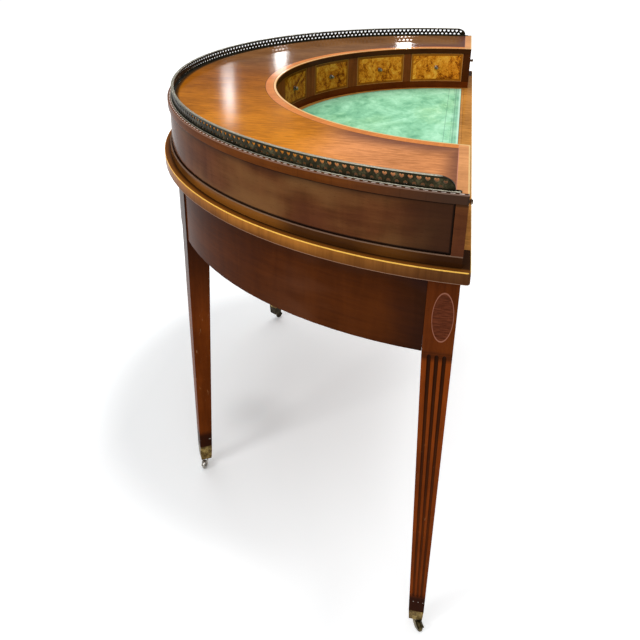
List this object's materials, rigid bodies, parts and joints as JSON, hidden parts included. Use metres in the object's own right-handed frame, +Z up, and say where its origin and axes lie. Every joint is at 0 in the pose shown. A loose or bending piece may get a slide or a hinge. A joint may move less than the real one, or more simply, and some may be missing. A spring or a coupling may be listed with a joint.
{
  "type": "writing desk",
  "caption": "Half-round writing desk of the carlton house kind with a low curved bank of drawers round a leather writing surface, a pierced gallery and tapered legs on castors",
  "frame": {"origin": "on the floor under the middle of the desk's bounding box", "axes": "+X along the straight front edge to the sitter's right, +Y from the sitter towards the round back, +Z up"},
  "size_m": [1.344, 0.672, 0.889],
  "materials": {
    "mahogany_top": "French polished figured mahogany, satin sheen, lighter crossbanding",
    "mahogany": "French polished red brown mahogany",
    "mahogany_dark": "dark polished mahogany, glossy",
    "burr_walnut": "polished burr walnut veneer with light stringing",
    "green_leather": "aged green writing leather, mottled, with tooled lines",
    "runner_wood": "plain unpolished secondary wood",
    "brass": "worn yellow brass",
    "aged_brass": "dark patinated brass"
  },
  "bodies": {
    "root": {"table_top": "mahogany_top", "superstructure_top": "mahogany_top", "writing_leather": "green_leather", "superstructure_base": "mahogany", "bank_divider_1": "mahogany", "bank_divider_2": "mahogany", "bank_divider_3": "mahogany", "bank_divider_4": "mahogany", "bank_divider_5": "mahogany", "bank_divider_6": "mahogany", "bank_divider_7": "mahogany", "end_divider_left": "mahogany", "end_divider_right": "mahogany", "front_frame": "mahogany", "front_leg_left": "mahogany", "front_leg_right": "mahogany", "back_leg_left": "mahogany", "back_leg_right": "mahogany", "outer_frame": "mahogany_dark", "outer_panel": "mahogany_dark", "frieze_left": "mahogany_dark", "frieze_right": "mahogany_dark", "frieze_back": "mahogany_dark", "gallery": "aged_brass", "runner_frame": "runner_wood", "socket_front_left": "brass", "socket_front_right": "brass", "socket_back_left": "brass", "socket_back_right": "brass"},
    "bank_drawer_1_body": {"bank_drawer_1": "burr_walnut", "bank_knob_1": "brass"},
    "bank_drawer_2_body": {"bank_drawer_2": "burr_walnut", "bank_knob_2": "brass"},
    "bank_drawer_3_body": {"bank_drawer_3": "burr_walnut", "bank_knob_3": "brass"},
    "bank_drawer_4_body": {"bank_drawer_4": "burr_walnut", "bank_knob_4": "brass"},
    "bank_drawer_5_body": {"bank_drawer_5": "burr_walnut", "bank_knob_5": "brass"},
    "bank_drawer_6_body": {"bank_drawer_6": "burr_walnut", "bank_knob_6": "brass"},
    "bank_drawer_7_body": {"bank_drawer_7": "burr_walnut", "bank_knob_7": "brass"},
    "bank_drawer_8_body": {"bank_drawer_8": "burr_walnut", "bank_knob_8": "brass"},
    "pier_drawer_left_body": {"pier_drawer_left": "burr_walnut", "pier_knob_left": "brass"},
    "pier_drawer_right_body": {"pier_drawer_right": "burr_walnut", "pier_knob_right": "brass"},
    "frieze_drawer_left_body": {"frieze_drawer_left": "burr_walnut"},
    "frieze_drawer_middle_body": {"frieze_drawer_middle": "burr_walnut"},
    "frieze_drawer_right_body": {"frieze_drawer_right": "burr_walnut"},
    "castor_front_left": {"fork_front_left": "aged_brass"},
    "wheel_front_left_body": {"wheel_front_left": "aged_brass"},
    "castor_front_right": {"fork_front_right": "aged_brass"},
    "wheel_front_right_body": {"wheel_front_right": "aged_brass"},
    "castor_back_left": {"fork_back_left": "aged_brass"},
    "wheel_back_left_body": {"wheel_back_left": "aged_brass"},
    "castor_back_right": {"fork_back_right": "aged_brass"},
    "wheel_back_right_body": {"wheel_back_right": "aged_brass"}
  },
  "joints": [
    {"name": "bank_drawer_1_slide", "type": "slide", "parent": "root", "child": "bank_drawer_1_body", "axis": [-0.972, -0.2351, 0], "range_m": [0, 0.05]},
    {"name": "bank_drawer_2_slide", "type": "slide", "parent": "root", "child": "bank_drawer_2_body", "axis": [-0.8192, -0.5736, 0], "range_m": [0, 0.05]},
    {"name": "bank_drawer_3_slide", "type": "slide", "parent": "root", "child": "bank_drawer_3_body", "axis": [-0.5534, -0.8329, 0], "range_m": [0, 0.075]},
    {"name": "bank_drawer_4_slide", "type": "slide", "parent": "root", "child": "bank_drawer_4_body", "axis": [-0.2164, -0.9763, 0], "range_m": [0, 0.075]},
    {"name": "bank_drawer_5_slide", "type": "slide", "parent": "root", "child": "bank_drawer_5_body", "axis": [0.2164, -0.9763, 0], "range_m": [0, 0.075]},
    {"name": "bank_drawer_6_slide", "type": "slide", "parent": "root", "child": "bank_drawer_6_body", "axis": [0.5534, -0.8329, 0], "range_m": [0, 0.075]},
    {"name": "bank_drawer_7_slide", "type": "slide", "parent": "root", "child": "bank_drawer_7_body", "axis": [0.8192, -0.5736, 0], "range_m": [0, 0.05]},
    {"name": "bank_drawer_8_slide", "type": "slide", "parent": "root", "child": "bank_drawer_8_body", "axis": [0.972, -0.2351, 0], "range_m": [0, 0.05]},
    {"name": "pier_drawer_left_slide", "type": "slide", "parent": "root", "child": "pier_drawer_left_body", "axis": [0, -1, 0], "range_m": [0, 0.045]},
    {"name": "pier_drawer_right_slide", "type": "slide", "parent": "root", "child": "pier_drawer_right_body", "axis": [0, -1, 0], "range_m": [0, 0.045]},
    {"name": "frieze_drawer_left_slide", "type": "slide", "parent": "root", "child": "frieze_drawer_left_body", "axis": [0, -1, 0], "range_m": [0, 0.12]},
    {"name": "frieze_drawer_middle_slide", "type": "slide", "parent": "root", "child": "frieze_drawer_middle_body", "axis": [0, -1, 0], "range_m": [0, 0.32]},
    {"name": "frieze_drawer_right_slide", "type": "slide", "parent": "root", "child": "frieze_drawer_right_body", "axis": [0, -1, 0], "range_m": [0, 0.12]},
    {"name": "castor_front_left_swivel", "type": "hinge", "parent": "root", "child": "castor_front_left", "pos_m": [-0.636, -0.3105, 0.024], "axis": [0, 0, 1], "continuous": true},
    {"name": "wheel_front_left_spin", "type": "hinge", "parent": "castor_front_left", "child": "wheel_front_left_body", "pos_m": [-0.648, -0.31771, 0.0105], "axis": [0.515, -0.8572, 0], "continuous": true},
    {"name": "castor_front_right_swivel", "type": "hinge", "parent": "root", "child": "castor_front_right", "pos_m": [0.636, -0.3105, 0.024], "axis": [0, 0, 1], "continuous": true},
    {"name": "wheel_front_right_spin", "type": "hinge", "parent": "castor_front_right", "child": "wheel_front_right_body", "pos_m": [0.648, -0.31771, 0.0105], "axis": [0.515, 0.8572, 0], "continuous": true},
    {"name": "castor_back_left_swivel", "type": "hinge", "parent": "root", "child": "castor_back_left", "pos_m": [-0.33309, 0.20756, 0.024], "axis": [0, 0, 1], "continuous": true},
    {"name": "wheel_back_left_spin", "type": "hinge", "parent": "castor_back_left", "child": "wheel_back_left_body", "pos_m": [-0.34699, 0.20585, 0.0105], "axis": [0.1219, -0.9925, 0], "continuous": true},
    {"name": "castor_back_right_swivel", "type": "hinge", "parent": "root", "child": "castor_back_right", "pos_m": [0.33309, 0.20756, 0.024], "axis": [0, 0, 1], "continuous": true},
    {"name": "wheel_back_right_spin", "type": "hinge", "parent": "castor_back_right", "child": "wheel_back_right_body", "pos_m": [0.3447, 0.19973, 0.0105], "axis": [0.5592, 0.829, 0], "continuous": true}
  ]
}
